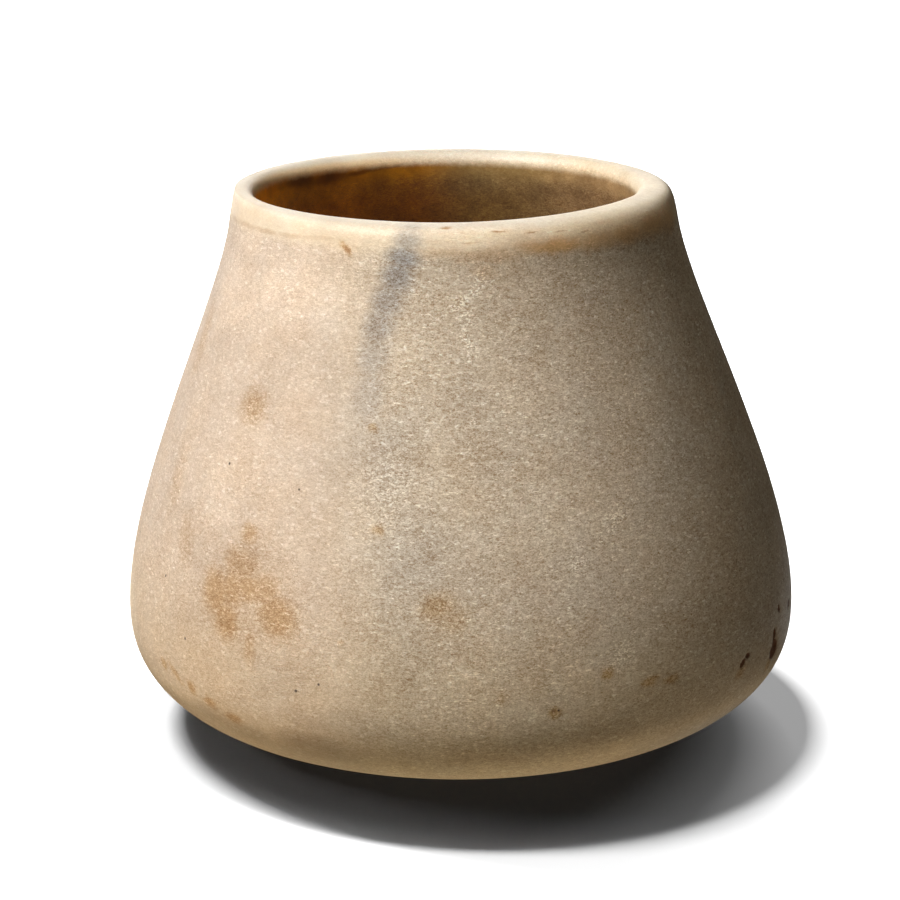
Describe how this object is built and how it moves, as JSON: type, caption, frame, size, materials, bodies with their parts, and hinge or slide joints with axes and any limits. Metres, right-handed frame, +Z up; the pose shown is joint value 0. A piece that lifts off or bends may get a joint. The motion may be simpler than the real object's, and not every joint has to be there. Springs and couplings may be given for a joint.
{
  "type": "alabaster jar",
  "caption": "Squat carved stone jar with a wide mouth, broad rounded lip, low belly and rounded base, which stands on a small flat face under it.",
  "frame": {"origin": "centre of the flat face under the base that the jar rests on", "axes": "+Z up out of the mouth, +X towards the side that the belly leans to, -Y towards the side with the grey vein"},
  "size_m": [0.135, 0.135, 0.1084],
  "materials": {
    "alabaster": "worn, smoothly ground calcite alabaster, warm beige with fine whitish crystals, a grey vein and rusty stains"
  },
  "bodies": {
    "root": {"jar": "alabaster"}
  },
  "joints": []
}
